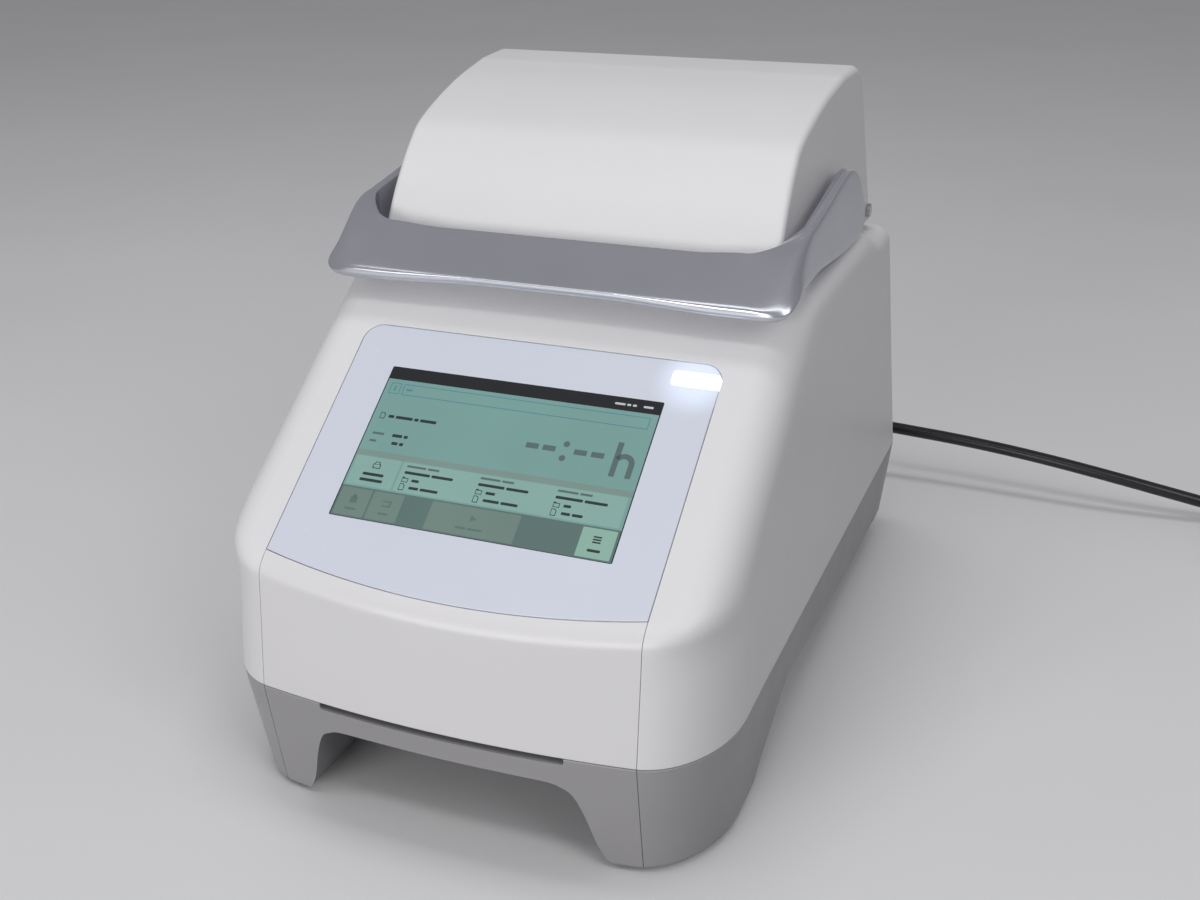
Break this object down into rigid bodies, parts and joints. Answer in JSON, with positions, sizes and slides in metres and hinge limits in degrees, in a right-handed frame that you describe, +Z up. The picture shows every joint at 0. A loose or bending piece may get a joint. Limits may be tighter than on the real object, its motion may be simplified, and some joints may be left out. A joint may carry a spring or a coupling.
{
  "type": "thermal cycler",
  "caption": "Bench-top thermal cycler with a sloping touch display, a hinged heated lid with a silver swing handle, a well block, rear connectors and a mains lead.",
  "frame": {"origin": "bench level, at the middle of the instrument's width and depth, its lead not counted", "axes": "+X is the viewer's right, -Y is the front with the display, +Z is up"},
  "size_m": [0.625, 0.5194, 0.33],
  "materials": {
    "white": "satin, cool white",
    "panel_white": "satin, white",
    "base_grey": "satin, mid grey",
    "silver": "satin metallic silver-grey paint",
    "glass": "clear cover with a pale printed border",
    "screen": "grey-green liquid-crystal screen",
    "light": "lit white light guide",
    "board": "green circuit board",
    "black": "moulded black",
    "rubber": "matt",
    "steel": "bright",
    "zinc": "zinc-plated sheet",
    "block_silver": "bright plated",
    "aluminium": "natural",
    "ceramic": "white ceramic plates",
    "seal": "soft dark grey",
    "cord": "black flexible sheath"
  },
  "bodies": {
    "base": {"base_front": "base_grey", "base_tub": "base_grey", "block_frame": "black", "chassis_plate": "zinc", "connector_panel": "zinc", "cord_coil": "cord", "cord_tie": "seal", "display_frame": "zinc", "display_glass": "glass", "fan_frame_left": "black", "fan_frame_right": "black", "foot_front_left": "rubber", "foot_front_right": "rubber", "foot_rear_left": "rubber", "foot_rear_right": "rubber", "front_panel": "panel_white", "heat_sink": "aluminium", "hinge_bracket_left": "steel", "hinge_bracket_right": "steel", "latch_keeper": "steel", "lcd_module": "screen", "main_board": "board", "mains_connector": "cord", "mains_inlet": "black", "network_socket": "steel", "peltier_1": "ceramic", "peltier_2": "ceramic", "peltier_3": "ceramic", "peltier_4": "ceramic", "peltier_5": "ceramic", "peltier_6": "ceramic", "power_cord": "cord", "power_supply": "zinc", "rear_grille": "white", "sample_block": "block_silver", "status_light_guide": "light", "strain_relief": "cord", "upper_housing": "white", "usb_socket": "steel", "wall_plug": "cord"},
    "lid": {"lid_cover": "white", "lid_tray": "black", "lid_gasket": "seal", "pressure_plate": "zinc", "lid_spring_1": "steel", "lid_spring_2": "steel", "lid_spring_3": "steel", "lid_spring_4": "steel", "hinge_pin_left": "steel", "hinge_pin_right": "steel", "handle_pin_left": "steel", "handle_pin_right": "steel", "latch_pin": "steel"},
    "handle": {"handle": "silver"},
    "latch": {"latch_hook": "steel"},
    "heated_plate": {"heated_plate": "aluminium"},
    "power_switch": {"power_switch": "black"},
    "fuse_drawer": {"fuse_drawer": "black"},
    "fan_rotor_left": {"fan_rotor_left": "black"},
    "fan_rotor_right": {"fan_rotor_right": "black"}
  },
  "joints": [
    {"name": "lid_hinge", "type": "hinge", "parent": "base", "child": "lid", "pos_m": [0, 0.1455, 0.241], "axis": [-1, 0, 0], "range_deg": [0, 75]},
    {"name": "handle_pivot", "type": "hinge", "parent": "lid", "child": "handle", "pos_m": [0, 0.086, 0.254], "axis": [-1, 0, 0], "range_deg": [0, 20]},
    {"name": "latch_pivot", "type": "hinge", "parent": "lid", "child": "latch", "pos_m": [0, -0.022, 0.252], "axis": [-1, 0, 0], "range_deg": [0, 12]},
    {"name": "plate_slide", "type": "slide", "parent": "lid", "child": "heated_plate", "axis": [0, 0, 1], "range_m": [0, 0.004], "stiffness_N_per_m": 3000, "springref_m": -0.002, "deforming": ["lid_spring_1", "lid_spring_2", "lid_spring_3", "lid_spring_4"]},
    {"name": "switch_rock", "type": "hinge", "parent": "base", "child": "power_switch", "pos_m": [0.027, 0.193, 0.044], "axis": [1, 0, 0], "range_deg": [0, 16]},
    {"name": "fuse_slide", "type": "slide", "parent": "base", "child": "fuse_drawer", "axis": [0, 1, 0], "range_m": [0, 0.018]},
    {"name": "fan_spin_left", "type": "hinge", "parent": "base", "child": "fan_rotor_left", "pos_m": [-0.041, 0.052, 0.1395], "axis": [0, 0, 1], "continuous": true},
    {"name": "fan_spin_right", "type": "hinge", "parent": "base", "child": "fan_rotor_right", "pos_m": [0.041, 0.052, 0.1395], "axis": [0, 0, 1], "continuous": true}
  ],
  "couplings": [
    {"joint": "latch_pivot", "follows": "handle_pivot", "ratio": 0.6}
  ]
}
